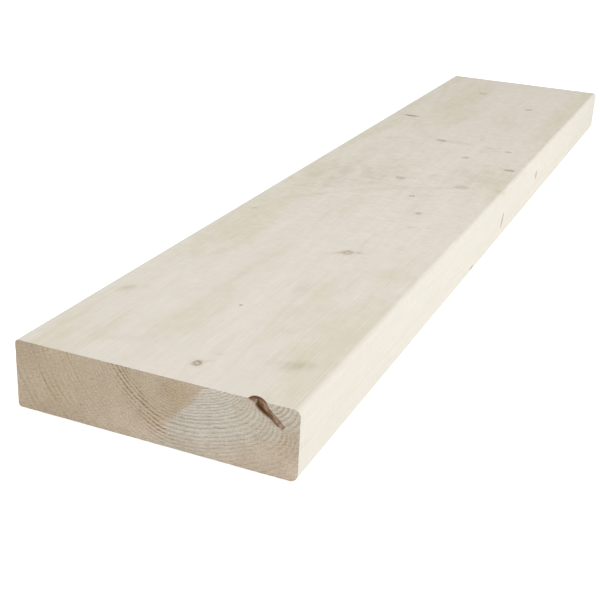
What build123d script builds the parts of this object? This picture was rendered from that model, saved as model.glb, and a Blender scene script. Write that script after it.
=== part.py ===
from build123d import *
import os

# A dressed softwood plank: one piece of spruce, planed on its four long sides and sawn square at
# both ends. It lies flat on its broad face. X runs across the width, Y along the grain and Z up
# through the thickness. The origin is the middle of the face that it lies on. "Near" is the
# sawn end at the low end of Y, and left and right are as seen from there.

# Driving sizes, in millimetres
plank_length = 1000.0
plank_width = 198.0
plank_thickness = 48.0

# The planer rounds each long arris, and the feed leaves the four a little different
arris_top_left = 2.7
arris_top_right = 4.3
arris_bottom_right = 5.3
arris_bottom_left = 2.1

# A small side knot breaks out of the top edge of the near end, and the bark beside it has dropped
# out. The hollow is widest at the top face and runs down the end grain to a point.
hollow_from_right = 28.1
hollow_reach = 22.0
hollow_half_width = 3.7
hollow_fall = 38.0

# Places worked out from the sizes
left_side = -plank_width / 2
right_side = plank_width / 2
near_end = -plank_length / 2
far_end = plank_length / 2
top_face = plank_thickness
bottom_face = 0.0


def section():
    """The section across the grain, with its four planed arrises, in the upright XZ plane."""
    outline = Rectangle(plank_width, plank_thickness, align=(Align.CENTER, Align.MIN))
    arrises = [
        (left_side, top_face, arris_top_left),
        (right_side, top_face, arris_top_right),
        (right_side, bottom_face, arris_bottom_right),
        (left_side, bottom_face, arris_bottom_left),
    ]
    for x, z, radius in arrises:
        corner = outline.vertices().sort_by_distance((x, z))[0]
        outline = fillet(corner, radius)
    return Plane.XZ * outline


def sawn_length():
    """The dressed stock, cut square to length."""
    return extrude(Pos(0, near_end, 0) * section(), amount=far_end - near_end, dir=(0, 1, 0))


def bark_hollow():
    """A spindle with its middle at the top edge of the near end, which cuts the hollow."""
    tip = (hollow_reach, 0)
    tail = (-hollow_reach, 0)
    belly = ThreePointArc(tail, (0, hollow_half_width), tip)
    half_profile = make_face([belly, Line(tip, tail)])
    spindle = revolve(half_profile, axis=Axis.X)
    return Pos(right_side - hollow_from_right, near_end, top_face) * Rot(Y=hollow_fall) * spindle


plank = (sawn_length() - bark_hollow()).solid()
plank.label = "plank"

os.makedirs("parts", exist_ok=True)
export_step(plank, "parts/plank.step")

size = plank.bounding_box().size
print("plank", round(size.X, 3), round(size.Y, 3), round(size.Z, 3), "mm,", round(plank.volume), "mm3")
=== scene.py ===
# %% [markdown]
# A planed spruce plank.
#
# This lesson dresses one length of planed softwood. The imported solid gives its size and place, and
# this script makes the wood itself: the growth rings, the knots, the planed skin, the sawn ends and
# the small hollow where a side knot breaks out of the near end.
#
# Wood is a solid stuff, so its pattern is not painted on each face. The tree's rings are worked out
# once, in three dimensions, and every face shows the place where it cuts through them. The lines on
# the ends and on the long faces then meet at the edges, as they do on a real plank.

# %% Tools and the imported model
import math

import bmesh
import bpy
import numpy as np
from mathutils import Matrix, Vector


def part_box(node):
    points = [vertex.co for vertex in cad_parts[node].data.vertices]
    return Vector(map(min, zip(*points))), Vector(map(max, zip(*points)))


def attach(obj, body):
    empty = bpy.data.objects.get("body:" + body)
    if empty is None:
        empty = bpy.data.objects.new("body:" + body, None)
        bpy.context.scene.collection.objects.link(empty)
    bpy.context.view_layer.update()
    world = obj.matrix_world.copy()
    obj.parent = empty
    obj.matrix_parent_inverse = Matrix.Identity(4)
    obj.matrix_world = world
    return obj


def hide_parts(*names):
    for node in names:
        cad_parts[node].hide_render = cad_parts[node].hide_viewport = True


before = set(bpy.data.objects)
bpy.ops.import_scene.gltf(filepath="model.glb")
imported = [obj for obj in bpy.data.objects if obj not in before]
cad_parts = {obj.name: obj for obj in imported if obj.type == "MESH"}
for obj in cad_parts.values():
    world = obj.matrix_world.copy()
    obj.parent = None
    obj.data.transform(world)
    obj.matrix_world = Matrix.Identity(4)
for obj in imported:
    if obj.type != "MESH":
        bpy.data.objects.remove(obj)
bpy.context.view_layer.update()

# %% [markdown]
# The plank is easiest to describe as a sawyer would, in millimetres from one corner. "Across" is
# counted from the left edge, "along" from the near sawn end, and "up" from the face it lies on. One
# helper turns those into Blender's metres.

# %% Sizes in millimetres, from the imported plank
MM = 0.001
low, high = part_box("plank")
width, length, thickness = [round((high[i] - low[i]) / MM, 3) for i in range(3)]


def to_metres(across, along, up):
    """A place on the plank, in millimetres, as arrays or numbers in Blender's metres."""
    return low.x + across * MM, low.y + along * MM, low.z + up * MM


print("across", width, "along", length, "up", thickness)

# %% Colours
def srgb(code, alpha=1.0):
    """A colour written as sRGB hex, turned to the linear numbers that Blender's sockets take."""
    parts = [int(code[i:i + 2], 16) / 255 for i in (1, 3, 5)]
    linear = [p / 12.92 if p <= 0.04045 else ((p + 0.055) / 1.055) ** 2.4 for p in parts]
    return (*linear, alpha)


print("cream", [round(c, 3) for c in srgb("#DDD6C7")])

# %% One helper for every shader node
def add(tree, kind, inputs, stops=(), **settings):
    """Adds a node, with its inputs by name or in order: numbers, colours, sockets or other nodes.

    A node stands for its first output in use. The settings are the node's options, and a ramp's stops are
    pairs of a place from 0 to 1 and the grey there.
    """
    node = tree.nodes.new(kind)
    for name, value in settings.items():
        setattr(node, name, value)
    named = inputs if isinstance(inputs, dict) else dict(enumerate(inputs))
    for socket, value in named.items():
        if isinstance(value, bpy.types.Node):
            value = next(output for output in value.outputs if output.enabled)
        if isinstance(value, bpy.types.NodeSocket):
            tree.links.new(value, node.inputs[socket])
        else:
            node.inputs[socket].default_value = value
    for spot, grey in stops[2:]:
        node.color_ramp.elements.new(spot)
    for number, (spot, grey) in enumerate(stops):
        node.color_ramp.elements[number].position = spot
        node.color_ramp.elements[number].color = (grey, grey, grey, 1.0)
    return node


def new_tree(owner):
    """Clears the node tree of a material or a world and hands it back."""
    owner.use_nodes = True
    owner.node_tree.nodes.clear()
    return owner.node_tree


print("node helper ready, for Blender", bpy.app.version_string)

# %% [markdown]
# The camera.
#
# The plank lies flat and the camera looks down along it from the near right corner. The lens is a
# short telephoto on a full-frame sensor. A camera is turned in three steps that a photographer would
# know: first its heading, then how far it tips down from level, then a small roll.

# %% Camera
camera_place = (0.3032, -1.0030, 0.3481)
camera_heading = 22.494
camera_dip = 23.080
camera_roll = 2.853
lens_mm = 65.08

lens = bpy.data.cameras.new("camera")
lens.lens = lens_mm
lens.sensor_width = 36.0
lens.clip_start = 0.01
camera = bpy.data.objects.new("camera", lens)
bpy.context.scene.collection.objects.link(camera)
heading = Matrix.Rotation(math.radians(camera_heading), 4, "Z")
tip = Matrix.Rotation(math.radians(90 - camera_dip), 4, "X")
roll = Matrix.Rotation(math.radians(camera_roll), 4, "Z")
camera.matrix_world = Matrix.Translation(camera_place) @ heading @ tip @ roll
bpy.context.scene.camera = camera
bpy.context.scene.view_settings.view_transform = "Standard"
print("camera at", camera_place)

# %% [markdown]
# Light and floor.
#
# The plank stands in even studio light on a white sweep. The world gives most of it, the same from
# every side, and one wide soft lamp on the right makes the narrow edge the brightest face. Together
# they add up to about one on the top face, so a colour renders as it is written.
#
# What the camera sees past the plank is plain white. The world is white only for the rays that look
# straight at it, so the whiteness adds no light to the wood. The floor glows a little for those rays,
# and for the same reason.

# %% World
world_light = 0.755
plain_white = (1.0, 1.0, 1.0, 1.0)


def seen_itself(tree):
    """1 for a ray that sees the backdrop itself, straight or in a gloss or through glass, and else 0."""
    path = add(tree, "ShaderNodeLightPath", [])
    seen = path.outputs["Is Camera Ray"]
    for ray in ("Is Glossy Ray", "Is Transmission Ray"):
        seen = add(tree, "ShaderNodeMath", [seen, path.outputs[ray]], operation="MAXIMUM")
    return seen


world = bpy.data.worlds.new("studio")
bpy.context.scene.world = world
tree = new_tree(world)
strength = add(tree, "ShaderNodeMapRange", [seen_itself(tree), 0.0, 1.0, world_light, 1.0])
sky = add(tree, "ShaderNodeBackground", {"Color": plain_white, "Strength": strength})
add(tree, "ShaderNodeOutputWorld", {"Surface": sky})
print("world light", world_light)

# %% Lamp
lamp_place = (2.60, -0.10, 1.90)
lamp_target = (0.0, 0.0, 0.0)
lamp_size = 1.9
lamp_watts = 42.0

lamp = bpy.data.lights.new("soft_box", "AREA")
lamp.shape = "DISK"
lamp.size = lamp_size
lamp.energy = lamp_watts
soft_box = bpy.data.objects.new("soft_box", lamp)
bpy.context.scene.collection.objects.link(soft_box)
aim = Vector(lamp_target) - Vector(lamp_place)
soft_box.matrix_world = Matrix.Translation(lamp_place) @ aim.to_track_quat("-Z", "Y").to_matrix().to_4x4()
print("lamp", round(aim.length, 2), "m away,", lamp_watts, "W")

# %% Floor
floor_reach = 6.0
floor_white = srgb("#F7F7F7")
floor_glow = 0.5
floor_up = low.z - 0.2 * MM

material = bpy.data.materials.new("white_paper_sweep")
tree = new_tree(material)
glow_share = add(tree, "ShaderNodeMath", [seen_itself(tree), floor_glow], operation="MULTIPLY")
paper = add(tree, "ShaderNodeBsdfDiffuse", {"Color": floor_white})
glow = add(tree, "ShaderNodeEmission", {"Color": plain_white, "Strength": glow_share})
both = add(tree, "ShaderNodeAddShader", [paper, glow])
add(tree, "ShaderNodeOutputMaterial", {"Surface": both})

corners = [(-1, -1), (1, -1), (1, 1), (-1, 1)]
sheet = bpy.data.meshes.new("floor")
sheet.from_pydata([(floor_reach * a, floor_reach * b, floor_up) for a, b in corners], [], [(0, 1, 2, 3)])
sheet.materials.append(material)
floor = bpy.data.objects.new("floor", sheet)
bpy.context.scene.collection.objects.link(floor)
print("floor", 2 * floor_reach, "m square")

# %% [markdown]
# The tree inside the plank.
#
# A plank is a small window on a trunk. The trunk's centre, the pith, ran a little above this plank's
# top face, right of the middle, so the rings sag under it like hammocks: nearly flat below the pith,
# steep at the left. A ring's number is the distance to the pith divided by one year's growth.
#
# Branches start at the pith and grow outward as cones, so each knot here is a cone as well. A knot
# seen on the top face comes out again on the edge or on the underside, larger, where its branch
# would have gone.

# %% Helpers for smooth shapes
def ease(start, end, value):
    """0 before start, 1 after end, and a smooth rise between them."""
    t = np.clip((value - start) / (end - start), 0.0, 1.0)
    return t * t * (3 - 2 * t)


def hump(centre, half_width, value):
    """1 at the centre and fading to nothing past about two half widths."""
    return np.exp(-((value - centre) / half_width) ** 2)


print("half way up", float(ease(0, 1, 0.5)))

# %% The pith and the rings around it
pith_across = 121.0
pith_up = 77.5
# The width of a year's growth at some distances from the pith, in millimetres
growth_at = (0, 30, 45, 53, 57, 64, 69, 80, 95, 112, 200)
growth = (1.5, 1.7, 1.9, 2.2, 2.9, 2.9, 2.4, 2.7, 3.5, 4.2, 4.5)
# The trunk grew faster towards the plank's lower right, and a little faster straight down: each swell's
# direction and half width, in radians from the right, and what it gains at a distance of swell_at
swells = ((-0.65, 0.44, 6.5), (-1.73, 0.32, 2.3))
swell_at = 70


def pith_at(along):
    """Where the pith is, across and up, at a distance along the plank. No tree is quite straight."""
    across = pith_across + 4.0 * np.sin(along / 310)
    up = pith_up + 2.0 * np.sin(along / 230) - 0.003 * along
    return across, up


def ring_radius(across, along, up):
    """Distance from the pith, with the gentle unevenness of a real trunk."""
    centre_across, centre_up = pith_at(along)
    side = across - centre_across
    rise = up - centre_up
    radius = np.hypot(side, rise)
    angle = np.arctan2(rise, side)
    swell = sum(gain * hump(turn, spread, angle) for turn, spread, gain in swells) * radius / swell_at
    sway = 0.8 * np.sin(along / 75 + angle) + 0.4 * np.sin(along / 31 + 2 * angle) - 0.4
    return radius - swell + sway


def ring_number(radius):
    """How many years lie inside that radius: the years' widths are added up from the pith outward."""
    step = 0.5
    steps = np.arange(0.0, growth_at[-1], step)
    years = np.cumsum(step / np.interp(steps, growth_at, growth))
    return np.interp(radius, steps, years) + 0.12 * np.sin(radius / 3.7 + 1.0)


print("rings across the near end", int(ring_number(ring_radius(0.0, 0.0, 0.0)) - ring_number(30.0)))

# %% [markdown]
# Knots.
#
# Every branch has a place where it breaks the top face, its thickness there, and a lean along the
# trunk. Where its cone cuts a face at a slant, the knot comes out as a long dark oval, which is why
# the knots far from the pith look like dashes and those below it look round.

# %% The branches, by where they break the top face
# name: (across, along, radius there, lean, darkness, olive, how far out it reaches, where 1 is the top
# face and all_through is past the plank)
all_through = 9.0
branches = {
    "near_pin": (117.0, 25.5, 2.8, 0.05, 0.72, 0.45, all_through),
    "pin_dot": (100.5, 119.0, 0.9, 0.05, 0.75, 0.3, 1.6),
    "round_pink": (127.6, 254.0, 3.6, 0.10, 0.52, 0.0, all_through),
    "olive_pin": (146.0, 378.0, 2.0, 0.10, 0.58, 1.0, all_through),
    "small_olive": (125.0, 424.0, 2.4, 0.10, 0.50, 0.8, all_through),
    "broad_soft": (157.5, 476.0, 3.7, 0.18, 0.33, 0.8, 1.5),
    "left_soft": (96.5, 474.0, 2.8, 0.10, 0.50, 0.8, all_through),
    "right_dash": (184.0, 559.0, 2.0, 0.10, 0.90, 0.5, 1.25),
    "faint_dash": (132.0, 582.0, 2.6, 0.10, 0.50, 0.5, all_through),
    "side_dash": (166.5, 629.0, 1.7, 0.12, 0.65, 0.4, all_through),
    "middle_dash": (90.0, 636.0, 2.9, 0.10, 0.68, 0.5, all_through),
    "left_dash": (24.5, 730.0, 1.9, 0.05, 1.15, 0.5, all_through),
    "far_round": (140.0, 845.0, 3.0, 0.12, 0.55, 0.3, all_through),
    "far_dash": (66.0, 905.0, 2.0, 0.08, 0.65, 0.5, all_through),
}
# A branch's radius grows with this power of the distance, and far_off stands for any place well away
branch_taper = 0.75
far_off = 9.0


def branch_line(across, along, lean):
    """The pith point that a branch starts at, its direction, and how far the top face is along it."""
    reach = np.hypot(across - pith_at(along)[0], thickness - pith_at(along)[1])
    start_along = along - lean * reach
    start_across, start_up = pith_at(start_along)
    start = np.array([start_across, start_along, start_up])
    way = np.array([across, along, thickness]) - start
    return start, way / np.linalg.norm(way), np.linalg.norm(way)


def around_branch(place, across, along, radius, lean, reaches):
    """Each point's distance from the branch's line in branch radii, and its step away from the line."""
    start, way, surface = branch_line(across, along, lean)
    from_start = place - start
    out = from_start @ way
    step = from_start - out[:, None] * way
    local_radius = radius * np.clip(out / surface, 0.05, None) ** branch_taper
    # A branch is a little taller along the trunk than it is wide
    share = np.linalg.norm(step * (1.0, 0.8, 1.0), axis=1) / local_radius
    gone = ease(0.85, 1.0, out / surface / reaches) * 6
    return share + gone + np.where(out > 0, 0.0, far_off), step, local_radius


for name, (across, along, radius, lean, *_) in branches.items():
    start, way, surface = branch_line(across, along, lean)
    print(name, "leaves the pith at", round(float(start[1])), "and heads", np.round(way, 2))

# %% [markdown]
# The broken-out knot at the near end.
#
# One branch lies almost in the plane of the near cut, so the saw ran along it and shows it as a
# tapering brown spike. The bark beside it has crumbled and left a small hollow in the top edge. The
# spike has its own little frame: "down the spike" runs from the top edge to its tip, and "off the
# spike" is measured square to that, towards the lower left.

# %% The spike's own frame
spike_across = 171.2
spike_slope = math.radians(40.0)
spike_length = 22.6
spike_depth = 6.5


def spike_frame(across, up):
    """Distance down the spike from the top edge, and off its line towards the lower left."""
    side = across - spike_across
    drop = thickness - up
    down = side * math.cos(spike_slope) + drop * math.sin(spike_slope)
    off = drop * math.cos(spike_slope) - side * math.sin(spike_slope)
    return down, off


def spike_edges(down):
    """The spike's lower-left and upper-right limits, off its line. It tapers little and ends bluntly."""
    lower = np.interp(down, (-6.0, -1.0, 2.4, 7.3, 12.0, 18.4, 21.6, 22.3),
                      (5.0, 3.2, 3.9, 3.6, 2.7, 2.4, 1.0, 0.0))
    upper = -np.interp(down, (-6.0, 2.8, 7.0, 11.3, 18.2, 21.4, 22.3), (4.0, 3.3, 1.8, 1.5, 1.5, 0.8, 0.0))
    return lower, upper


def spike_body(across, along, up):
    """1 inside the spike, 0 outside, soft at its edges. It reaches a few millimetres into the plank."""
    down, off = spike_frame(across, up)
    lower, upper = spike_edges(down)
    inside = ease(0.5, -0.3, off - lower) * ease(-0.5, 0.3, off - upper)
    inside *= ease(spike_length, spike_length - 1, down) * ease(-8, -6, down)
    return inside * ease(spike_depth, spike_depth - 1.5, along)


hollow_depth = 4.6
hollow_middle = 170.2


def hollow_rim(across):
    """How far back the hollow reaches along the top face: steep at its left, long and low at its right."""
    share = np.interp(across, (164.3, 164.8, 166.0, 167.8, 170.4, 173.2, 175.4, 176.6),
                      (0.0, 0.50, 0.84, 1.0, 0.94, 0.60, 0.18, 0.0))
    return hollow_depth * share


def hollow_at(across, up):
    """How far the end face is eaten away: the open hollow at the top edge, and a groove down the spike."""
    drop = thickness - up
    shift = np.interp(drop, (0, 1.0, 3.0, 8, 14), (0.0, 0.5, 2.6, 8.0, 14.0))
    narrow = np.interp(drop, (0, 1.0, 3.0, 8, 14), (1.0, 0.95, 0.66, 0.42, 0.3))
    bowl = hollow_rim(hollow_middle + (across - hollow_middle - shift) / narrow)
    bowl *= np.interp(drop, (0, 1.5, 4, 9, 14), (1.0, 0.88, 0.46, 0.18, 0.0))
    down, off = spike_frame(across, up)
    lower, upper = spike_edges(down)
    groove = 0.9 * hump(lower - 0.6, 0.7, off) * ease(21.0, 4.0, down) * ease(-1.0, 1.5, down)
    return np.maximum(bowl, groove)


def spike_bark(across, along, up):
    """Old dark bark: down the spike's lower-left border, thick at first, and round the hollow's rim."""
    down, off = spike_frame(across, up)
    lower, upper = spike_edges(down)
    thick = np.interp(down, (0, 3, 8, 13, 20), (1.0, 1.2, 1.1, 0.75, 0.55))
    line = hump(lower - 0.6 * thick, thick, off) * ease(21.5, 18.0, down) * ease(-1.5, 0.5, down)
    line *= np.interp(down, (0, 3, 9, 13, 20), (0.9, 1.0, 1.0, 0.85, 0.65))
    far_side = 0.45 * hump(upper + 0.3, 0.5, off) * ease(1.0, 3.0, down) * ease(21.5, 16.0, down)
    blunt_end = 0.5 * hump(21.3, 0.8, down) * ease(2.2, 1.4, np.abs(off - 0.2))
    into_plank = ease(spike_depth, spike_depth - 1.5, along)
    body = np.maximum(np.maximum(line, far_side), blunt_end) * into_plank
    body *= ease(thickness, thickness - 0.6, up)
    # The rim's bark is a thin crust on the back wall, with only its edge on the planed face
    wall = ease(0.15, 0.6, hollow_at(across, up)) * ease(2.2, 0.9, thickness - up)
    reach = np.interp(across, (164, 167, 170), (1.2, 0.9, 0.6))
    crust = ease(reach, reach - 0.5, along - hollow_rim(across)) * ease(0.0, 0.4, hollow_rim(across) - 0.3)
    rim = np.where(up > thickness - 0.3, crust, wall * ease(0.6, 0.2, along - hollow_rim(across)))
    rim *= np.interp(across, (166, 170, 176), (1.0, 0.75, 0.45))
    left_end = 0.6 * ease(0.15, 0.6, hollow_at(across, up)) * ease(169.5, 166.5, across)
    left_end *= into_plank * ease(thickness - 0.1, thickness - 0.6, up)
    return np.maximum(np.maximum(body, 0.85 * rim), left_end)


print("hollow at the top edge", round(float(hollow_at(np.float64(168.0), thickness)), 2), "mm deep")

# %% [markdown]
# The plank's mesh.
#
# The plank is a box whose faces are grids, so that it can hold both its soft arrises and its small
# hollow, and so that the ring numbers can be stored on its points. A plain cube with bevelled edges
# would be lighter, but it would have no points to carry the wood. The grid is coarse on the long
# faces and is split finer only round the knots and at the near end.

# %% Grid lines
def grid_lines(*stretches):
    """Places along one side of the box. Each stretch is its start, its end and its spacing."""
    places = [stretches[0][0]]
    for start, end, spacing in stretches:
        count = max(1, round((end - start) / spacing))
        places += [start + (end - start) * (i + 1) / count for i in range(count)]
    return places


edge_zone = 6.0
fine_step = 0.6
wide_step = 3.0
across_lines, up_lines = [
    grid_lines((0, edge_zone, fine_step), (edge_zone, size - edge_zone, wide_step),
               (size - edge_zone, size, fine_step))
    for size in (width, thickness)
]
along_lines = grid_lines((0, 12, 2.0), (12, length - 12, 5.0), (length - 12, length, 3.0))
print("grid", len(across_lines), "by", len(along_lines), "by", len(up_lines), "lines")

# %% The box of grids
def box_of_grids(xs, ys, zs):
    """Corner points and four-sided faces of a closed box; the sawn end faces come last."""
    number = {}

    def point(i, j, k):
        return number.setdefault((i, j, k), len(number))

    i_end, j_end, k_end = len(xs) - 1, len(ys) - 1, len(zs) - 1
    long_faces = []
    for j in range(j_end):
        for i in range(i_end):
            for k, turn in ((k_end, 1), (0, -1)):
                loop = [point(i, j, k), point(i + 1, j, k), point(i + 1, j + 1, k), point(i, j + 1, k)]
                long_faces.append(loop[::turn])
        for k in range(k_end):
            for i, turn in ((i_end, 1), (0, -1)):
                loop = [point(i, j, k), point(i, j + 1, k), point(i, j + 1, k + 1), point(i, j, k + 1)]
                long_faces.append(loop[::turn])
    sawn_faces = []
    for i in range(i_end):
        for k in range(k_end):
            for j, turn in ((0, 1), (j_end, -1)):
                loop = [point(i, j, k), point(i + 1, j, k), point(i + 1, j, k + 1), point(i, j, k + 1)]
                sawn_faces.append(loop[::turn])
    points = [(xs[i], ys[j], zs[k]) for i, j, k in number]
    return points, long_faces, sawn_faces


points, long_faces, sawn_faces = box_of_grids(across_lines, along_lines, up_lines)
mesh = bpy.data.meshes.new("dressed_plank")
mesh.from_pydata(points, [], long_faces + sawn_faces)
mesh.polygons.foreach_set("material_index", [0] * len(long_faces) + [1] * len(sawn_faces))
print("box", len(mesh.vertices), "points,", len(mesh.polygons), "faces")

# %% Finer faces where they are needed
def leaving_point(name):
    """Where a branch leaves the plank on its way out, its radius there, and the direction it grows in."""
    across, along, radius, lean, *_, reaches = branches[name]
    start, way, surface = branch_line(across, along, lean)
    out = surface
    while out < surface * min(reaches, 5.0):
        spot = start + out * way
        if spot[0] < 0 or spot[0] > width or spot[2] < 0:
            break
        out += 1.0
    return start + out * way, radius * (out / surface) ** branch_taper, way


# Each region has its low and high limits and how many times its faces are halved
regions = [
    ((2.5, -1, 2.5), (width - 2.5, 1, thickness - 2.5), 1),
    ((156, -1, 26), (194, 8, 49), 2),
    ((159, -1, 33), (191, 6, 49), 3),
    ((width - 1, 470, 9), (width + 1, 502, 29), 3),
    ((width - 1, 622, 19), (width + 1, 648, 36), 3),
    ((width - 1, 370, 3), (width + 1, 392, 10), 2),
]
for name, (across, along, radius, *_) in branches.items():
    exit_spot, exit_radius, way = leaving_point(name)
    for spot, size in (((across, along, thickness), radius), (exit_spot, exit_radius)):
        reach_across = 1.6 * size * min(2.5, 1 / max(0.3, abs(way[2]))) + 3
        reach_along = 1.8 * size + 4
        regions.append(((spot[0] - reach_across, spot[1] - reach_along, spot[2] - reach_across),
                        (spot[0] + reach_across, spot[1] + reach_along, spot[2] + reach_across), 2))

work = bmesh.new()
work.from_mesh(mesh)
for level in range(3):
    spots = np.array([v.co for v in work.verts])
    wanted = np.zeros(len(spots), bool)
    for lows, highs, times in regions:
        if times > level:
            wanted |= np.all((spots >= lows) & (spots <= highs), axis=1)
    edges = [e for e in work.edges if wanted[e.verts[0].index] and wanted[e.verts[1].index]]
    bmesh.ops.subdivide_edges(work, edges=edges, cuts=1, use_grid_fill=True)
    work.verts.index_update()
many_sided = [f for f in work.faces if len(f.verts) > 4]
bmesh.ops.triangulate(work, faces=many_sided)
work.to_mesh(mesh)
work.free()
print("split to", len(mesh.vertices), "points,", len(mesh.polygons), "faces")

# %% [markdown]
# The points are now moved, all at once, with numpy. First the sharp box corners are rolled into round
# arrises: a point at the corner is drawn in towards the arris centre until its distance is the
# radius. Then the hollow is pressed into the near end. Nothing moves outward, so the plank keeps its
# packed size.

# %% Round arrises
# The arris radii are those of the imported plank: top left, top right, bottom right, bottom left
arris_radii = {(0, 1): 2.7, (1, 1): 4.3, (1, 0): 5.3, (0, 0): 2.1}

flat = np.empty(len(mesh.vertices) * 3)
mesh.vertices.foreach_get("co", flat)
place = flat.reshape(-1, 3)
sharp_place = place.copy()
for (right, top), radius in arris_radii.items():
    centre_across = width - radius if right else radius
    centre_up = thickness - radius if top else radius
    side = (place[:, 0] - centre_across) * (1 if right else -1)
    rise = (place[:, 2] - centre_up) * (1 if top else -1)
    corner = (side > 0) & (rise > 0)
    pull = np.maximum(side, rise)[corner] / np.hypot(side, rise)[corner]
    place[corner, 0] = centre_across + (place[corner, 0] - centre_across) * pull
    place[corner, 2] = centre_up + (place[corner, 2] - centre_up) * pull
print("arris points", int((np.abs(place - sharp_place).max(axis=1) > 0).sum()))

# %% The hollow in the near end
give_way = 12.0
sunk = hollow_at(place[:, 0], place[:, 2])
near = place[:, 1] < give_way
place[near, 1] += sunk[near] * (1 - place[near, 1] / give_way)
print("deepest point", round(float(place[sharp_place[:, 1] == 0, 1].max()), 2), "mm")

# %% Small tear-out along the sawn edges
deepest_tear = 0.28
tear = np.random.default_rng(7)
on_end = (sharp_place[:, 1] == 0) | (sharp_place[:, 1] == length)
on_skin = (sharp_place[:, 0] == 0) | (sharp_place[:, 0] == width)
on_skin |= (sharp_place[:, 2] == 0) | (sharp_place[:, 2] == thickness)
rim = on_end & on_skin
torn = deepest_tear * tear.random(int(rim.sum())) ** 3
place[rim, 1] += torn * np.where(sharp_place[rim, 1] == 0, 1, -1)
print("torn rim points", int(rim.sum()))

# %% [markdown]
# Storing the wood on the points.
#
# Each point of the mesh now learns what wood it is made of. The shader reads these values and only
# has to add what is finer than the mesh, such as the fibres. Storing them on the points keeps the
# shader short, and the pattern stays fixed in the wood from every side.

# %% Rings, bent round the knots
# How far the rings give way beside the spike, in millimetres, and beside a knot 3 mm in radius
spike_push = 5.0
knot_push = 2.2
knot_push_reach = 2.6

across, along, up = place.T
radius_field = ring_radius(across, along, up)
down, off = spike_frame(across, up)
lower, upper = spike_edges(down)
outside = np.maximum(np.maximum(off - lower, upper - off), 0)
beside_spike = np.exp(-outside / 6.0) * ease(-14, 2, down) * ease(70, 18, down) * ease(40, 0, along)
radius_field += spike_push * beside_spike

knot_share = np.full(len(place), far_off)
knot_dark = np.zeros(len(place))
knot_olive = np.zeros(len(place))
fibre = place.copy()
for name, (spot, spot_along, size, lean, dark, olive, reaches) in branches.items():
    share, step, local_radius = around_branch(place, spot, spot_along, size, lean, reaches)
    nearer = share < knot_share
    knot_share = np.where(nearer, share, knot_share)
    knot_dark = np.where(nearer, dark, knot_dark)
    knot_olive = np.where(nearer, olive, knot_olive)
    radius_field -= knot_push * local_radius / 3 * np.exp(-(share / knot_push_reach) ** 2)
    run = np.hypot(step[:, 0], step[:, 2]) ** 2 + (0.45 * step[:, 1]) ** 2
    part_round = local_radius ** 2 / (run + local_radius ** 2)
    fibre[:, 0] -= step[:, 0] * part_round
    fibre[:, 2] -= step[:, 2] * part_round
heartwood = ease(56, 38, radius_field)
rings = ring_number(radius_field)
print("ring numbers", round(float(rings.min())), "to", round(float(rings.max())))

# %% Zones of the sawn end
def between(up_places, across_places, height):
    """A line down the end face, given by its places across at certain heights."""
    return np.interp(height, up_places, across_places)


# A band of dark, close years crosses the end, and a paler, greyer zone lies right of a crooked line
band_middle = between((5, 12, 20, 30, 40, 48), (109, 104, 98, 89, 82, 76.5), up)
band_half_width = 8.0
dark_band = np.exp(-((across - band_middle + 0.6) / band_half_width) ** 4) * ease(2, 12, up)
pale_from = between((0, 16, 29, 34, 39, 43, 48), (101, 110.5, 121, 127.5, 130, 132.5, 136), up)
pale_zone = ease(-1.0, 1.0, (across - pale_from) / np.interp(up, (5, 16, 26), (12, 6, 1)))
pale_zone *= 1 - 0.9 * ease(0, 30, (across - 150) * 0.8 + (22 - up) * 1.1) * ease(34, 20, up)
pale_zone *= 1 - 0.75 * ease(182, 189, across) * ease(35, 31, up)
pale_zone *= 1 - 0.45 * ease(15, 3, up)
pale_zone *= 1 - 0.36 * ease(150, 162, across) * ease(22, 32, up)
# Left of the band only some years show, as sparse arcs; right of it an olive cast and faint years
sparse_years = ease(62, 40, across)
olive_cast = hump(116, 9, across) * hump(39, 12, up)
olive_cast = np.maximum(olive_cast, 0.5 * hump(27, 7, across) * hump(22, 9, up))
tan_zone = ease(25, 90, across) * ease(27, 5, up)
dusky = ease(34, 6, across) * ease(20, 44, up)
corner_zone = ease(176, 186, across) * ease(33, 38, up)
faint_years = 0.35 * hump(109, 7, across) * hump(24, 9, up)
faint_years += 0.75 * hump(109, 6, across) * hump(39, 5, up)
# Under the spike's tip the years still show, crowded and steep, on plain brown wood
faint_years += 0.60 * hump(190, 6.5, across) * hump(25.5, 6.0, up)
calm = 1 - 0.40 * hump(138, 14, across) * hump(10, 8, up) - 0.35 * hump(158, 9, across) * hump(27, 8, up)
ring_strength = 0.20 + 0.85 * dark_band + (0.47 + 0.40 * corner_zone) * pale_zone * calm + faint_years
print("pale share of the near end", round(float(pale_zone[sharp_place[:, 1] == 0].mean()), 2))

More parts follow.
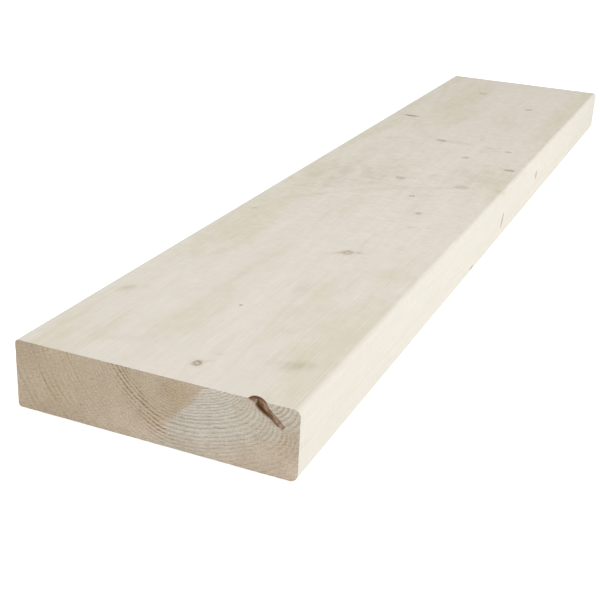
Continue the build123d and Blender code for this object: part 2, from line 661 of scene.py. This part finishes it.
# %% Faint marks on the planed top
# (across, along, half width, half length, slope, strength) of each soft mark. The slope is how far a
# mark slants along the grain for each millimetre across.
soft_marks = [
    (152.5, 338.0, 3.5, 2.0, 0.6, 0.4), (19.0, 110.0, 9.0, 5.0, 0.6, 0.45),
    (171.0, 50.0, 12.0, 7.5, 0.3, 0.46), (124.6, 173.0, 4.0, 14.0, 0.0, 0.22),
    (79.0, 472.0, 12.0, 2.5, 0.5, 0.35), (184.0, 480.0, 12.0, 2.5, 0.3, 0.3),
    (107.0, 636.0, 14.0, 1.8, 0.1, 0.4), (150.0, 588.0, 12.0, 1.6, 0.4, 0.3),
    (152.0, 623.0, 9.0, 2.2, 0.5, 0.32), (166.0, 565.0, 8.0, 2.2, 0.4, 0.3),
    (39.0, 617.0, 9.0, 5.0, 0.5, 0.3), (127.0, 666.0, 4.0, 12.0, 0.0, 0.22),
    (15.0, 317.0, 3.0, 2.0, 0.5, 0.45), (122.0, 31.5, 2.2, 1.5, 0.5, 0.6),
    (121.5, 39.2, 1.2, 2.6, 0.0, 0.6), (121.5, 251.0, 3.2, 2.6, 0.75, 0.8),
    (136.0, 258.5, 6.0, 2.2, 0.25, 0.6), (134.0, 376.0, 9.0, 1.5, 0.5, 0.22),
    (124.0, 501.0, 6.0, 9.0, 0.3, 0.16), (23.0, 730.5, 6.0, 2.2, 0.2, 0.6),
    (50.0, 462.0, 42.0, 48.0, 0.5, 0.24), (98.0, 478.0, 12.0, 2.0, 0.4, 0.3),
    (30.0, 432.0, 30.0, 1.6, 0.5, 0.18), (60.0, 35.0, 16.0, 4.0, 0.4, 0.16),
    (162.0, 520.0, 28.0, 34.0, 0.0, 0.2), (191.0, 556.0, 6.0, 2.0, 0.4, 0.35),
    (173.0, 559.0, 8.0, 2.0, 0.5, 0.32), (147.0, 634.0, 12.0, 2.4, 0.4, 0.4),
    (105.0, 641.0, 10.0, 2.4, 0.1, 0.3), (30.0, 735.0, 10.0, 2.6, 0.4, 0.3),
    (122.7, 42.5, 1.6, 1.8, 0.5, 0.45), (78.0, 442.0, 11.0, 2.6, 0.6, 0.34),
    (50.0, 412.0, 26.0, 3.0, 0.65, 0.26), (58.0, 396.0, 18.0, 3.0, 0.9, 0.22),
    (105.0, 448.0, 16.0, 2.4, 0.15, 0.2), (33.0, 447.0, 12.0, 2.4, 0.5, 0.2),
]
stain = np.zeros(len(place))
upper_skin = ease(thickness - 8, thickness - 1, up)
for mark_across, mark_along, half_width, half_length, slope, strength in soft_marks:
    slant = along - slope * (across - mark_across)
    mark = hump(mark_across, half_width, across) * hump(mark_along, half_length, slant)
    stain = np.maximum(stain, strength * mark * upper_skin)
whorl_line = np.interp(across, (20, 85, 158, 198), (352, 425, 475, 484))
stain = np.maximum(stain, 0.22 * hump(0, 4.0, along - whorl_line) * upper_skin * ease(15, 40, across))
print("stained points", int((stain > 0.1).sum()))

# %% Two small branches that only graze the right edge
# (along, up) of each stroke's ends, its half width, and its darkness
edge_strokes = [
    ((490.5, 24.0), (484.0, 13.0), 2.3, 0.74),
    ((636.0, 32.0), (631.5, 24.0), 1.7, 0.54),
    ((386.0, 6.6), (376.0, 6.0), 1.0, 0.62),
]
on_edge = ease(width - 3, width - 0.5, across)
stroke = np.zeros(len(place))
blush = np.zeros(len(place))
for (first_along, first_up), (last_along, last_up), half_width, strength in edge_strokes:
    run = np.array([last_along - first_along, last_up - first_up])
    step = np.stack([along - first_along, up - first_up], axis=1)
    part = np.clip(step @ run / (run @ run), 0, 1)
    gap = np.linalg.norm(step - part[:, None] * run, axis=1)
    slim = half_width * (0.45 + 0.55 * np.sin(np.pi * np.clip(part, 0.08, 0.92)))
    stroke = np.maximum(stroke, strength * ease(1.5 * slim, 0.6 * slim, gap) * on_edge)
    blush = np.maximum(blush, strength * hump(0, 9.0, gap) * on_edge)
print("stroke points", int((stroke > 0.3).sum()))

# %% How far the painted shade reaches towards the far end
# Painted shade where the light falls off: the far part of the top is painted greyer than the near part and
# the edges
top_far_shade = np.interp(along, (0, 120, 300, 500, 700, 800, 1000), (0.0, 0.01, 0.06, 0.11, 0.17, 0.22, 0.25))
edge_far_shade = np.interp(along, (0, 700, 900, 1000), (0.0, 0.03, 0.10, 0.13))
edge_face = ease(width - 5, width - 1, across) + ease(5, 1, across)
far_shade = edge_far_shade + (top_far_shade - edge_far_shade) * ease(thickness - 6, thickness - 1, up) * (1 - edge_face)
print("greyed from", round(float(far_shade.min()), 2), "to", round(float(far_shade.max()), 2))

# %% Hand the values to the mesh
spike = spike_body(across, along, up) * np.interp(down, (9, 21), (1.0, 0.75))
spike = np.maximum(spike, 0.9 * ease(0.2, 0.8, sunk) * ease(give_way, 0, along))
wood_values = {
    "ring_number": rings, "ring_strength": ring_strength, "heartwood": heartwood,
    "sparse_years": sparse_years, "dark_band": dark_band, "pale_zone": pale_zone, "olive_cast": olive_cast,
    "tan_zone": tan_zone, "dusky": dusky, "far_shade": far_shade, "edge_face": edge_face, "stroke": stroke,
    "blush": blush, "knot_share": knot_share, "knot_dark": knot_dark, "knot_olive": knot_olive,
    "spike": spike, "bark": spike_bark(across, along, up), "stain": stain,
}
for name, values in wood_values.items():
    layer = mesh.attributes.new(name, "FLOAT", "POINT")
    layer.data.foreach_set("value", values.astype(np.float32))
layer = mesh.attributes.new("fibre", "FLOAT_VECTOR", "POINT")
layer.data.foreach_set("vector", fibre.astype(np.float32).ravel())
print(len(wood_values) + 1, "values on every point")

# %% The mesh in its place
sharp_degrees = 48
mesh.vertices.foreach_set("co", np.column_stack(to_metres(*place.T)).ravel())
mesh.shade_smooth()
mesh.set_sharp_from_angle(angle=math.radians(sharp_degrees))
mesh.update()
triangles = sum(len(p.vertices) - 2 for p in mesh.polygons)
print("plank", len(mesh.vertices), "points,", triangles, "triangles")

# %% [markdown]
# Planed spruce.
#
# Kiln-dried spruce is pale cream with a little yellow. The planer leaves it matt and silky. Close up
# it shows soft growth lines, fibres that run along the grain and part round each knot, tiny resin
# ducts, and a faint rhythm of knife marks across it.
#
# The ring number from the mesh is enough for the growth lines: its fraction says how far through
# its year the wood is. Early wood is pale; it darkens slowly into late wood and starts again pale.
# Such a look is built like paint: a ground, and then thin coats over it, each with its own amount.

# %% Coats of colour, one over the other
def paint(tree, ground, coats):
    """Lays coats over a ground, in order. A coat is its colour and the parts that its amount is made of."""
    for colour, amount, *others in coats:
        for other in others:
            amount = add(tree, "ShaderNodeMath", [amount, other], operation="MULTIPLY", use_clamp=True)
        ground = add(tree, "ShaderNodeMix", {0: amount, 6: ground, 7: colour}, data_type="RGBA")
    return ground


print("coats of colour ready")

# %% The pattern of a year's growth
# How dark the wood is through its year, from one winter to the next
late_rise = ((0.0, 0.15), (0.10, 0.0), (0.42, 0.10), (0.72, 0.85), (0.88, 1.0), (0.97, 0.45))


def year_pattern(tree, number, place, waviness):
    """The late wood's darkness from 0 to 1, and a random strength for each year."""
    uneven = add(tree, "ShaderNodeTexNoise", {"Vector": place, "Scale": 1.0, "Detail": 2.0})
    nudge = add(tree, "ShaderNodeMapRange", [uneven, 0.2, 0.8, -waviness, waviness])
    years = add(tree, "ShaderNodeMath", [number, nudge], operation="ADD")
    part = add(tree, "ShaderNodeMath", [years], operation="FRACT")
    whole = add(tree, "ShaderNodeMath", [years], operation="FLOOR")
    late = add(tree, "ShaderNodeValToRGB", [part], stops=late_rise)
    chance = add(tree, "ShaderNodeTexWhiteNoise", {"W": whole}, noise_dimensions="1D")
    return late, chance


print("late wood is darkest at", max(late_rise, key=lambda stop: stop[1])[0], "of its year")

# %% Colours and patterns of the planed faces
planed_cream = srgb("#E2DBCF")
planed_olive = srgb("#DBD4C1")
planed_pink = srgb("#E6DDD2")
edge_pale = srgb("#DEDACF")
# The grey below is painted shade, laid where the light falls off towards the far end
far_shade_grey = srgb("#9A917E")
late_wood = srgb("#C4B491")
pale_fibre = srgb("#F3EEE5")
duct_brown = srgb("#B9A98A")
stain_olive = srgb("#B4AC90")
knot_brown = srgb("#B39C88")
knot_green = srgb("#B1A884")
knot_rim = srgb("#5E4B3E")
stroke_brown = srgb("#7A6456")
blush_pink = srgb("#EBD9CB")
bark_brown = srgb("#6B4E3A")
# Each pattern's size across, along and up, in millimetres, and its detail and roughness. Real fibres are
# 0.03 mm wide, too fine to show, so the strands are drawn 1.3 mm wide.
tone_size = (42, 210, 42)
planed_patterns = {
    "tone": (tone_size, 3.0, 0.55),
    "patches": ((12, 26, 12), 2.0, 0.6),
    "strands": ((1.3, 38, 1.3), 3.0, 0.6),
    "chips": ((9, 5, 9), 2.0, 0.6),
    "ducts": ((0.9, 7, 0.9), 1.0, 0.5),
}
print(len(planed_patterns), "patterns, the largest", max(tone_size), "mm long")

# %% Knots on the planed faces
def knot_coats(tree, wood):
    """A knot's coats: a darker halo, a paler body, and a ragged dark rim with torn gaps."""
    # The bark and pitch round a knot are torn about every 2.4 mm, whichever way the fibres run
    tears_per_metre = 420.0
    spot = add(tree, "ShaderNodeTexCoord", [])
    torn = add(tree, "ShaderNodeTexNoise", {"Vector": spot.outputs["Object"], "Scale": tears_per_metre,
                                            "Detail": 2.0, "Roughness": 0.7})
    uneven = add(tree, "ShaderNodeMapRange", [torn, 0.0, 1.0, -1.1, 1.1])
    ragged = add(tree, "ShaderNodeMath", [wood["knot_share"], uneven], operation="ADD")
    halo = add(tree, "ShaderNodeMapRange", [ragged, 2.4, 0.9, 0.0, 0.30])
    heart = add(tree, "ShaderNodeMapRange", [ragged, 1.2, 0.8, 0.0, 0.60])
    # A ramp only reaches from 0 to 1, so it is read at a third of the distance
    third = add(tree, "ShaderNodeMath", [ragged, 1 / 3], operation="MULTIPLY", use_clamp=True)
    rim = add(tree, "ShaderNodeValToRGB", [third],
              stops=((0.0, 0.40), (0.10, 0.05), (0.20, 0.12), (0.31, 0.80), (0.41, 0.25), (0.52, 0.0)))
    gaps = add(tree, "ShaderNodeMapRange", [torn, 0.40, 0.58, 0.10, 1.35])
    body = paint(tree, knot_brown, [(knot_green, wood["knot_olive"])])
    dark = wood["knot_dark"]
    return [(late_wood, halo, dark), (body, heart, dark), (knot_rim, rim, dark, gaps)]


print("knot coats ready")

# %% Planed faces
def planed_spruce():
    """Wood surfaced by a planer: matt, pale, with growth lines, fibres, knots and knife marks."""
    material = bpy.data.materials.new("planed_spruce_faces")
    tree = new_tree(material)
    wood = {}
    for name in ("ring_number", "heartwood", "edge_face", "far_shade", "stain", "stroke", "blush", "bark",
                 "knot_share", "knot_dark", "knot_olive"):
        wood[name] = add(tree, "ShaderNodeAttribute", [], attribute_name=name).outputs["Fac"]
    fibre = add(tree, "ShaderNodeAttribute", [], attribute_name="fibre").outputs["Vector"]
    noise = {}
    for name, (size, detail, roughness) in planed_patterns.items():
        place = add(tree, "ShaderNodeVectorMath", [fibre, size], operation="DIVIDE")
        noise[name] = add(tree, "ShaderNodeTexNoise", {"Vector": place, "Scale": 1.0, "Detail": detail,
                                                       "Roughness": roughness})
    place = add(tree, "ShaderNodeVectorMath", [fibre, tone_size], operation="DIVIDE")
    late, chance = year_pattern(tree, wood["ring_number"], place, waviness=0.10)

    # Broad tone: olive towards the edges, pinker heartwood under the pith
    warm = add(tree, "ShaderNodeMath", [wood["heartwood"], 0.15], operation="MULTIPLY")
    warm = add(tree, "ShaderNodeMath", [noise["tone"], warm], operation="SUBTRACT")
    patches = add(tree, "ShaderNodeMapRange", [noise["patches"], 0.0, 1.0, -0.16, 0.16])
    warm = add(tree, "ShaderNodeMath", [warm, patches], operation="ADD")
    to_olive = add(tree, "ShaderNodeMapRange", [warm, 0.44, 0.60])
    to_pink = add(tree, "ShaderNodeMapRange", [warm, 0.41, 0.28])
    # Growth lines are faint on planed spruce, and only some years show
    year = add(tree, "ShaderNodeMapRange", [chance, 0.35, 1.0, 0.01, 0.13])
    dark_strands = add(tree, "ShaderNodeMapRange", [noise["strands"], 0.52, 0.78, 0.0, 0.17])
    pale_strands = add(tree, "ShaderNodeMapRange", [noise["strands"], 0.46, 0.28, 0.0, 0.30])
    calm_edge = add(tree, "ShaderNodeMapRange", [wood["edge_face"], 0.0, 1.0, 1.0, 0.5])
    # Where the knives lifted the fibres a little, the skin is mottled, more so where the far end's painted
    # shade is deeper
    chips = add(tree, "ShaderNodeMath", [noise["chips"], 0.5], operation="SUBTRACT")
    lifted = add(tree, "ShaderNodeMapRange", [wood["far_shade"], 0.0, 0.10, 0.25, 1.0])
    chips = add(tree, "ShaderNodeMath", [chips, lifted], operation="MULTIPLY")
    dark_chips = add(tree, "ShaderNodeMapRange", [chips, 0.0, 0.25, 0.0, 0.20])
    pale_chips = add(tree, "ShaderNodeMapRange", [chips, 0.0, -0.25, 0.0, 0.30])
    ducts = add(tree, "ShaderNodeMapRange", [noise["ducts"], 0.70, 0.78, 0.0, 0.22])
    broken = add(tree, "ShaderNodeMapRange", [noise["patches"], 0.3, 0.7, 0.2, 1.6])

    # The grey coat over the far-end amount is painted shade, where the light falls off towards the far end
    coats = [
        (planed_olive, to_olive), (planed_pink, to_pink), (edge_pale, wood["edge_face"], 0.8),
        (late_wood, late, year), (late_wood, dark_strands, calm_edge), (pale_fibre, pale_strands),
        (late_wood, dark_chips), (pale_fibre, pale_chips), (duct_brown, ducts),
        (stain_olive, wood["stain"], broken), (far_shade_grey, wood["far_shade"]),
        *knot_coats(tree, wood),
        (blush_pink, wood["blush"], 0.25), (stroke_brown, wood["stroke"], 0.85),
        (bark_brown, wood["bark"], 0.8),
    ]
    colour = paint(tree, planed_cream, coats)

    # Late wood stands a little proud, fibres are finer, and the knives leave a wave every 3.9 mm, because
    # this texture repeats every 0.314 mm divided by its scale
    knives = add(tree, "ShaderNodeTexWave", {"Vector": fibre, "Scale": 0.08, "Distortion": 0.4,
                                             "Detail": 1.0}, bands_direction="Y", wave_profile="SIN")
    relief = add(tree, "ShaderNodeMath", [late, 0.25], operation="MULTIPLY")
    relief = add(tree, "ShaderNodeMath", [noise["strands"], relief], operation="ADD")
    relief = add(tree, "ShaderNodeMath", [knives.outputs["Fac"], 0.12, relief], operation="MULTIPLY_ADD")
    bump = add(tree, "ShaderNodeBump", {"Height": relief, "Strength": 0.4, "Distance": 0.1 * MM})
    # Bare planed wood has no varnish: a typical IOR, high roughness and a weak gloss
    rough = add(tree, "ShaderNodeMapRange", [noise["strands"], 0.0, 1.0, 0.55, 0.72])
    skin = add(tree, "ShaderNodeBsdfPrincipled", {"Base Color": colour, "Roughness": rough, "IOR": 1.45,
                                                  "Specular IOR Level": 0.3, "Normal": bump})
    add(tree, "ShaderNodeOutputMaterial", {"Surface": skin})
    return material


mesh.materials.append(planed_spruce())
print("planed faces:", len(mesh.materials[0].node_tree.nodes), "nodes")

# %% [markdown]
# Sawn end grain.
#
# A cross-cut opens the wood's tubes, so the ends drink in light and look darker and browner than
# the planed faces. The rings show best here. A circular saw leaves them furry rather than shiny, and
# the zones that were worked out above decide where they stand out.

# %% Colours and patterns of the sawn ends
end_brown = srgb("#D3C2A8")
end_tan = srgb("#E1D1BB")
end_pale = srgb("#E7E1D4")
end_olive = srgb("#BBA67C")
end_dusky = srgb("#AE967E")
band_late = srgb("#937B54")
band_late_low = srgb("#A07850")
pale_late = srgb("#A29881")
plain_late = srgb("#A08872")
arc_olive = srgb("#A2906C")
spike_brown = srgb("#6E482A")
spike_tip = srgb("#C6A286")
bark_dark = srgb("#5A3920")
# Each pattern's size across, along and up, in millimetres, its turn in the end face, and its detail and
# roughness. The saw's teeth leave scratches 6 mm long and 0.9 mm apart, which rise a little to the right.
# The spike's own fibres run down it, at its slope, and are drawn 1.5 mm wide, coarse enough to show.
cell_size = (14, 14, 14)
saw_slope = -0.25
sawn_patterns = {
    "cloud": (cell_size, 0.0, 3.0, 0.5),
    "fuzz": ((1.1, 1.1, 1.1), 0.0, 2.0, 0.7),
    "scores": ((6.0, 6.0, 0.9), saw_slope, 2.0, 0.6),
    "strands": ((6.0, 6.0, 1.5), spike_slope, 3.0, 0.7),
}
print(len(sawn_patterns), "patterns, the saw's turned by", round(math.degrees(saw_slope)), "degrees")

# %% Sawn ends
def sawn_spruce():
    """Cross-cut end grain: absorbent, dull, with crisp years, a spike knot and old bark."""
    material = bpy.data.materials.new("sawn_end_grain")
    tree = new_tree(material)
    wood = {}
    for name in ("ring_number", "ring_strength", "sparse_years", "dark_band", "pale_zone", "olive_cast",
                 "tan_zone", "dusky", "knot_share", "spike", "bark"):
        wood[name] = add(tree, "ShaderNodeAttribute", [], attribute_name=name).outputs["Fac"]
    fibre = add(tree, "ShaderNodeAttribute", [], attribute_name="fibre").outputs["Vector"]
    noise = {}
    for name, (size, turn, detail, roughness) in sawn_patterns.items():
        place = add(tree, "ShaderNodeMapping", {"Vector": fibre, "Rotation": (0, turn, 0), "Scale": size},
                    vector_type="TEXTURE")
        noise[name] = add(tree, "ShaderNodeTexNoise", {"Vector": place, "Scale": 1.0, "Detail": detail,
                                                       "Roughness": roughness})
    place = add(tree, "ShaderNodeVectorMath", [fibre, cell_size], operation="DIVIDE")
    late, chance = year_pattern(tree, wood["ring_number"], place, waviness=0.22)

    # The years' colour: grey in the pale zone, olive in the sparse arcs, and dark in the band
    dense = paint(tree, band_late, [(band_late_low, wood["tan_zone"])])
    line = paint(tree, plain_late, [(pale_late, wood["pale_zone"]), (arc_olive, wood["sparse_years"]),
                                    (dense, wood["dark_band"])])
    # Their strength: dense in the band and the pale zone, and arcs that come and go at the left
    year = add(tree, "ShaderNodeMapRange", [chance, 0.0, 1.0, 0.65, 1.15])
    year = add(tree, "ShaderNodeMath", [year, wood["ring_strength"]], operation="MULTIPLY")
    arc = add(tree, "ShaderNodeMapRange", [chance, 0.0, 1.0, 0.05, 0.7])
    lapse = add(tree, "ShaderNodeMapRange", [noise["cloud"], 0.62, 0.38, 0.25, 1.3])
    arc = add(tree, "ShaderNodeMath", [arc, lapse], operation="MULTIPLY")
    year = add(tree, "ShaderNodeMix", {0: wood["sparse_years"], 2: year, 3: arc})
    year = add(tree, "ShaderNodeMath", [year, late], operation="MULTIPLY", use_clamp=True)
    # The saw's scratches break the lines, most of all in the band
    weakest = add(tree, "ShaderNodeMapRange", [wood["dark_band"], 0.0, 1.0, 0.55, 0.05])
    strongest = add(tree, "ShaderNodeMapRange", [wood["dark_band"], 0.0, 1.0, 1.35, 1.7])
    broken = add(tree, "ShaderNodeMapRange", [noise["scores"], 0.33, 0.67, weakest, strongest])

    # Furry specks, darker and lighter, the saw's scratches, and the branches that reach the end
    dull = add(tree, "ShaderNodeMapRange", [noise["cloud"], 0.35, 0.7, 0.0, 0.22])
    fleck = add(tree, "ShaderNodeMapRange", [noise["fuzz"], 0.5, 0.75, 0.0, 0.55])
    spark = add(tree, "ShaderNodeMapRange", [noise["fuzz"], 0.5, 0.25, 0.0, 0.50])
    score = add(tree, "ShaderNodeMapRange", [noise["scores"], 0.5, 0.75, 0.0, 0.45])
    heart = add(tree, "ShaderNodeMapRange", [wood["knot_share"], 1.2, 0.8, 0.0, 0.7])
    grain = add(tree, "ShaderNodeMapRange", [noise["strands"], 0.40, 0.60])
    spike_wood = paint(tree, spike_tip, [(spike_brown, grain)])

    coats = [
        (end_tan, wood["tan_zone"]), (end_dusky, wood["dusky"], 0.35), (end_olive, wood["olive_cast"], 0.45),
        (end_pale, wood["pale_zone"]), (plain_late, dull), (line, year, broken),
        (plain_late, fleck), (end_pale, spark), (plain_late, score),
        (spike_brown, heart), (spike_wood, wood["spike"], 0.95), (bark_dark, wood["bark"]),
    ]
    colour = paint(tree, end_brown, coats)
    relief = add(tree, "ShaderNodeMath", [noise["fuzz"], 0.8, late], operation="MULTIPLY_ADD")
    bump = add(tree, "ShaderNodeBump", {"Height": relief, "Strength": 0.5, "Distance": 0.15 * MM})
    # Open end grain is duller still than planed wood
    skin = add(tree, "ShaderNodeBsdfPrincipled", {"Base Color": colour, "Roughness": 0.85,
                                                  "Specular IOR Level": 0.2, "Normal": bump})
    add(tree, "ShaderNodeOutputMaterial", {"Surface": skin})
    return material


mesh.materials.append(sawn_spruce())
print("sawn ends:", len(mesh.materials[1].node_tree.nodes), "nodes")

# %% [markdown]
# The finished plank.
#
# The dressed mesh takes the place of the imported solid, which stays behind it for weight and collision.

# %% Put the plank in place
plank = bpy.data.objects.new("dressed_plank", mesh)
bpy.context.scene.collection.objects.link(plank)
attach(plank, "root")
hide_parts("plank")
print("plank in place")
